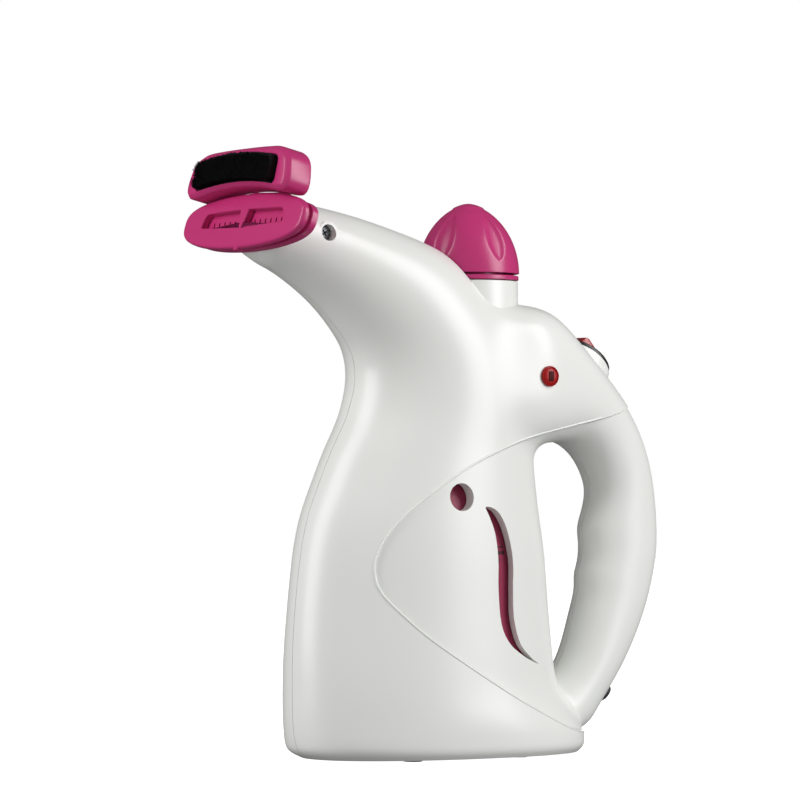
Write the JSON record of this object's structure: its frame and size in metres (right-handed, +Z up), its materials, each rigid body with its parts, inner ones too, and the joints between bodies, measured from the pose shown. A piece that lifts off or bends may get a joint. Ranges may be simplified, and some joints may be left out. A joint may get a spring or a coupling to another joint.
{
  "type": "garment steamer",
  "caption": "Hand-held garment steamer: oval water cup with a swan neck, loop handle, domed filler cap, slotted steam head with a lift-off bristle brush, rocker switch and pilot lamp.",
  "frame": {"origin": "on the surface the steamer stands on, under the middle of its box", "axes": "+Z up, +X towards the handle, -X towards the steam nozzle, -Y towards the steamer's left flank with the pilot lamp"},
  "size_m": [0.2447, 0.1076, 0.2874],
  "materials": {
    "white_abs": "satin moulded ABS",
    "pink_abs": "glossy moulded ABS",
    "tank_plastic": "clear tinted moulding",
    "black_plastic": "fine matt moulding",
    "bristle_nylon": "cut nylon pile",
    "red_lens": "clear tinted, faceted",
    "rubber": "matt",
    "silicone": "milky, matt",
    "steel": "drawn and zinc plated",
    "aluminium": "die cast",
    "brass": "stamped and turned",
    "brown_sheath": "PVC sheath",
    "blue_sheath": "PVC sheath"
  },
  "bodies": {
    "casing": {"casing_left": "white_abs", "casing_right": "white_abs", "handle_left": "white_abs", "handle_right": "white_abs", "base_cover": "white_abs", "base_screw_1": "steel", "base_screw_2": "steel", "base_screw_3": "steel", "base_screw_4": "steel", "foot_1": "rubber", "foot_2": "rubber", "foot_3": "rubber", "foot_4": "rubber", "tank": "tank_plastic", "filler_neck": "white_abs", "filler_seal": "rubber", "steam_grommet": "rubber", "steam_tube": "silicone", "heating_plate": "aluminium", "heater_element": "steel", "heater_seal": "silicone", "thermostat": "steel", "thermal_fuse": "brass", "nozzle_plate": "pink_abs", "nozzle_diffuser": "pink_abs", "nozzle_housing": "pink_abs", "neck_screw": "steel", "switch_housing": "black_plastic", "switch_terminal_1": "brass", "switch_terminal_2": "brass", "switch_terminal_3": "brass", "indicator_lens": "red_lens", "indicator_nut": "black_plastic", "indicator_lamp": "silicone", "cord_gland": "rubber", "wire_live": "brown_sheath", "wire_switched": "brown_sheath", "wire_neutral": "blue_sheath"},
    "cap_seal": {"cap_gasket": "rubber"},
    "cap_plug": {"cap_plug": "pink_abs", "cap_plug_lid": "pink_abs", "cap_spring": "steel", "relief_spring": "steel"},
    "cap_dome": {"cap_dome": "pink_abs"},
    "relief_valve": {"relief_valve": "brass"},
    "switch_rocker": {"switch_rocker": "red_lens"},
    "brush": {"brush_body": "pink_abs", "brush_base": "black_plastic", "brush_bristles": "bristle_nylon"}
  },
  "joints": [
    {"name": "cap_lift", "type": "slide", "parent": "casing", "child": "cap_seal", "axis": [0, 0, 1], "range_m": [0, 0.03]},
    {"name": "cap_turn", "type": "hinge", "parent": "cap_seal", "child": "cap_plug", "pos_m": [0.0128, 0, 0.2283], "axis": [0, 0, 1], "range_deg": [0, 1080]},
    {"name": "cap_press", "type": "slide", "parent": "cap_plug", "child": "cap_dome", "axis": [0, 0, 1], "range_m": [-0.0008, 0], "stiffness_N_per_m": 1500, "springref_m": 0.001, "deforming": ["cap_spring"]},
    {"name": "relief_lift", "type": "slide", "parent": "cap_plug", "child": "relief_valve", "axis": [0, 0, 1], "range_m": [0, 0.0015], "stiffness_N_per_m": 500, "springref_m": -0.002, "deforming": ["relief_spring"]},
    {"name": "switch_rock", "type": "hinge", "parent": "casing", "child": "switch_rocker", "pos_m": [0.08165, 0, 0.19336], "axis": [0, -1, 0], "range_deg": [0, 24]},
    {"name": "brush_lift", "type": "slide", "parent": "casing", "child": "brush", "axis": [0.2924, 0, 0.9563], "range_m": [0, 0.03]}
  ],
  "couplings": [
    {"joint": "cap_turn", "follows": "cap_lift", "rad_per_m": 628.3}
  ]
}
